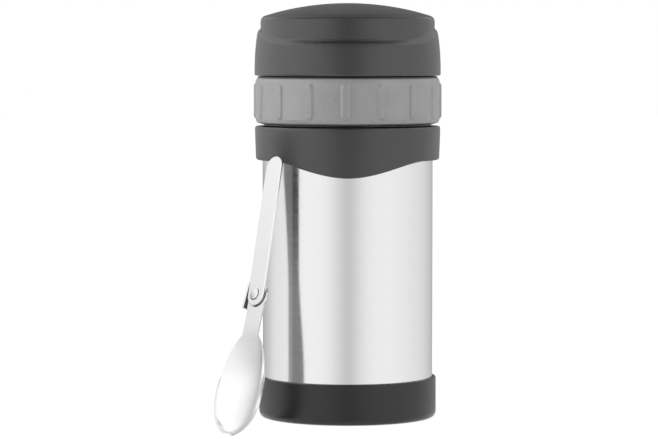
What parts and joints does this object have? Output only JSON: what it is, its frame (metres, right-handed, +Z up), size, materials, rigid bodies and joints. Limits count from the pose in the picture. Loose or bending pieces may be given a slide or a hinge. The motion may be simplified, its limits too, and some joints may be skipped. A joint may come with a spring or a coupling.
{
  "type": "insulated food jar",
  "caption": "Insulated steel food jar with a screw stopper, a grip ring, a screw-on bowl lid, a base boot and a folding spoon leaning on it.",
  "frame": {"origin": "on the jar's axis, at the surface that the jar stands on", "axes": "+Z up along the jar's axis, -Y is the front, +X is the viewer's right; the spoon leans at the front left"},
  "size_m": [0.1071, 0.1285, 0.1985],
  "materials": {
    "brushed_steel": "fine satin",
    "spoon_steel": "polished",
    "foil": "bright",
    "getter": "sintered, matt",
    "seal_metal": "matt",
    "charcoal_plastic": "fine satin",
    "dark_plastic": "matt",
    "warm_grey_plastic": "satin",
    "liner_plastic": "smooth",
    "silicone": "matt",
    "foam": "matt foam"
  },
  "bodies": {
    "jar": {"outer_shell": "brushed_steel", "bottom_plate": "brushed_steel", "inner_vessel": "brushed_steel", "radiation_foil": "foil", "getter": "getter", "evacuation_seal": "seal_metal", "base_boot": "charcoal_plastic", "collar": "charcoal_plastic", "neck_ring": "dark_plastic", "neck_packing": "silicone"},
    "stopper_seal": {"stopper_gasket": "silicone"},
    "stopper": {"stopper_core": "dark_plastic", "grip_ring": "warm_grey_plastic", "stopper_plug": "dark_plastic", "stopper_foam": "foam"},
    "lid_seal": {"lid_gasket": "silicone"},
    "lid": {"lid_shell": "charcoal_plastic", "bowl_liner": "liner_plastic", "lid_foam": "foam"},
    "spoon": {"spoon_bowl": "spoon_steel", "spoon_rivet": "spoon_steel"},
    "handle": {"spoon_handle": "spoon_steel"}
  },
  "joints": [
    {"name": "stopper_rise", "type": "slide", "parent": "jar", "child": "stopper_seal", "axis": [0, 0, 1], "range_m": [0, 0.0481]},
    {"name": "stopper_turn", "type": "hinge", "parent": "stopper_seal", "child": "stopper", "pos_m": [0, 0, 0], "axis": [0, 0, 1], "range_deg": [0, 1440]},
    {"name": "lid_rise", "type": "slide", "parent": "stopper", "child": "lid_seal", "axis": [0, 0, 1], "range_m": [0, 0.0361]},
    {"name": "lid_turn", "type": "hinge", "parent": "lid_seal", "child": "lid", "pos_m": [0, 0, 0], "axis": [0, 0, 1], "range_deg": [0, 1080]},
    {"name": "spoon_away", "type": "slide", "parent": "jar", "child": "spoon", "axis": [-0.5289, -0.4694, 0.707], "range_m": [0, 0.06]},
    {"name": "spoon_fold", "type": "hinge", "parent": "spoon", "child": "handle", "pos_m": [-0.04203, -0.05589, 0.06295], "axis": [0.6987, 0.6205, -0.3561], "range_deg": [0, 180]}
  ],
  "couplings": [
    {"joint": "stopper_rise", "follows": "stopper_turn", "m_per_rad": 0.0019099},
    {"joint": "lid_rise", "follows": "lid_turn", "m_per_rad": 0.0019099}
  ]
}
